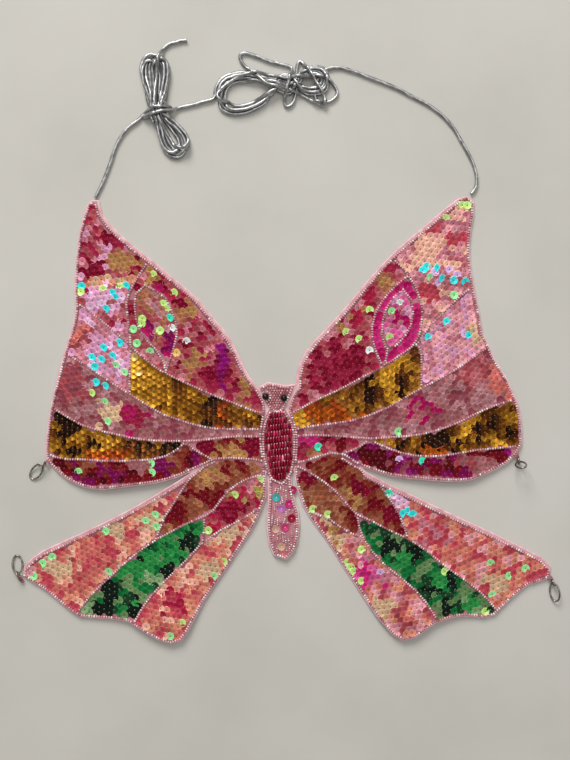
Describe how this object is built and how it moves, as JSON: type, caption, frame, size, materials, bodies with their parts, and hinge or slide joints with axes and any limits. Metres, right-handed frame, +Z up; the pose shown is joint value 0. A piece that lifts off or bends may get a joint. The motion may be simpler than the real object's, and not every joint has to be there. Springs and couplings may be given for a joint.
{
  "type": "butterfly halter top",
  "caption": "Butterfly-shaped halter top in sequins and seed beads, lying flat, with wire ring pairs at its lower corners and a silver neck cord tied up in hanks.",
  "frame": {"origin": "centre of the outline on the floor, under the satin lining's back face", "axes": "+X towards the right wing, +Y towards the head and wing tips, +Z up out of the sequinned front"},
  "size_m": [0.3283, 0.3628, 0.0134],
  "materials": {
    "satin": "pink satin, slightly shiny",
    "ground_cloth": "plain pink woven ground cloth",
    "sequins_pink": "clear rose sequins with a rainbow coating, crimson, beige and lilac cells",
    "sequins_pale": "clear pale lilac-pink sequins with a rainbow coating",
    "sequins_coral": "clear coral sequins mottled with beige",
    "sequins_crimson": "clear crimson sequins mottled with purple and beige",
    "sequins_gold": "mirror-coated gold sequins",
    "sequins_green": "clear green sequins with near-black cells",
    "seed_beads": "pale pink lined glass seed beads",
    "head_beads": "dusty pink glass seed beads",
    "body_beads": "magenta glass bugle beads",
    "tail_beads": "pale pink beads and scattered sequins over pink cloth",
    "eye_beads": "polished black round bead",
    "ring_metal": "dark nickel plated wire",
    "lashing_thread": "pink sewing thread",
    "silver_cord": "braided cord with silver metallic thread"
  },
  "bodies": {
    "butterfly": {"satin_lining": "satin", "ground_cloth": "ground_cloth", "forewing_left_tip_sequins": "sequins_pink", "forewing_left_inner_sequins": "sequins_pink", "forewing_left_leaf_sequins": "sequins_pink", "forewing_left_ray_sequins": "sequins_pale", "forewing_left_gold_band_sequins": "sequins_gold", "forewing_left_pale_band_sequins": "sequins_pale", "forewing_left_gold_hem_sequins": "sequins_gold", "forewing_left_root_sequins": "sequins_pink", "forewing_left_hem_sequins": "sequins_crimson", "forewing_left_bead_lines": "seed_beads", "forewing_right_tip_sequins": "sequins_pink", "forewing_right_inner_sequins": "sequins_pink", "forewing_right_leaf_sequins": "sequins_pink", "forewing_right_leaf_heart_sequins": "sequins_pink", "forewing_right_ray_sequins": "sequins_pale", "forewing_right_gold_band_sequins": "sequins_gold", "forewing_right_pale_band_sequins": "sequins_pale", "forewing_right_gold_hem_sequins": "sequins_gold", "forewing_right_root_sequins": "sequins_pink", "forewing_right_hem_sequins": "sequins_crimson", "forewing_right_bead_lines": "seed_beads", "hindwing_left_outer_sequins": "sequins_coral", "hindwing_left_shoulder_sequins": "sequins_pink", "hindwing_left_green_sequins": "sequins_green", "hindwing_left_root_sequins": "sequins_pink", "hindwing_left_lower_sequins": "sequins_coral", "hindwing_left_bead_lines": "seed_beads", "hindwing_right_outer_sequins": "sequins_coral", "hindwing_right_shoulder_sequins": "sequins_pink", "hindwing_right_green_sequins": "sequins_green", "hindwing_right_root_sequins": "sequins_pink", "hindwing_right_lower_sequins": "sequins_coral", "hindwing_right_bead_lines": "seed_beads", "head_beads": "head_beads", "body_beads": "body_beads", "tail_beads": "tail_beads", "eye_left": "eye_beads", "eye_right": "eye_beads", "forewing_left_lashing": "lashing_thread", "forewing_right_lashing": "lashing_thread", "hindwing_left_lashing": "lashing_thread", "hindwing_right_lashing": "lashing_thread", "neck_cord_left": "silver_cord", "neck_cord_middle": "silver_cord", "neck_cord_right": "silver_cord", "lacing_cord_end": "silver_cord", "neck_cord_loop": "silver_cord", "lacing_hank": "silver_cord", "neck_hank": "silver_cord"},
    "forewing_left_small_ring": {"forewing_left_small_ring": "ring_metal"},
    "forewing_left_large_ring": {"forewing_left_large_ring": "ring_metal"},
    "forewing_right_small_ring": {"forewing_right_small_ring": "ring_metal"},
    "forewing_right_large_ring": {"forewing_right_large_ring": "ring_metal"},
    "hindwing_left_small_ring": {"hindwing_left_small_ring": "ring_metal"},
    "hindwing_left_large_ring": {"hindwing_left_large_ring": "ring_metal"},
    "hindwing_right_small_ring": {"hindwing_right_small_ring": "ring_metal"},
    "hindwing_right_large_ring": {"hindwing_right_large_ring": "ring_metal"}
  },
  "joints": [
    {"name": "forewing_left_small_ring_turn", "type": "hinge", "parent": "butterfly", "child": "forewing_left_small_ring", "pos_m": [-0.1435, -0.0255, 0.00295], "axis": [0, 0, 1], "range_deg": [-40, 40]},
    {"name": "forewing_left_large_ring_flap", "type": "hinge", "parent": "forewing_left_small_ring", "child": "forewing_left_large_ring", "pos_m": [-0.14602, -0.02673, 0.00235], "axis": [-0.7771, 0.6293, 0], "range_deg": [0, 100]},
    {"name": "forewing_right_small_ring_turn", "type": "hinge", "parent": "butterfly", "child": "forewing_right_small_ring", "pos_m": [0.1382, -0.0223, 0.00295], "axis": [0, 0, 1], "range_deg": [-30, 30]},
    {"name": "forewing_right_large_ring_flap", "type": "hinge", "parent": "forewing_right_small_ring", "child": "forewing_right_large_ring", "pos_m": [0.13892, -0.02501, 0.00235], "axis": [-0.9659, -0.2588, 0], "range_deg": [-84, 25]},
    {"name": "hindwing_left_small_ring_turn", "type": "hinge", "parent": "butterfly", "child": "hindwing_left_small_ring", "pos_m": [-0.1589, -0.0943, 0.00295], "axis": [0, 0, 1], "range_deg": [-5, 45]},
    {"name": "hindwing_left_large_ring_flap", "type": "hinge", "parent": "hindwing_left_small_ring", "child": "hindwing_left_large_ring", "pos_m": [-0.1603, -0.09187, 0.00235], "axis": [0.9962, 0.0872, 0], "range_deg": [0, 100]},
    {"name": "hindwing_right_small_ring_turn", "type": "hinge", "parent": "butterfly", "child": "hindwing_right_small_ring", "pos_m": [0.1585, -0.0951, 0.00295], "axis": [0, 0, 1], "range_deg": [-30, 45]},
    {"name": "hindwing_right_large_ring_flap", "type": "hinge", "parent": "hindwing_right_small_ring", "child": "hindwing_right_large_ring", "pos_m": [0.1599, -0.09753, 0.00235], "axis": [-0.8112, -0.114, -0.5736], "range_deg": [0, 90]}
  ]
}
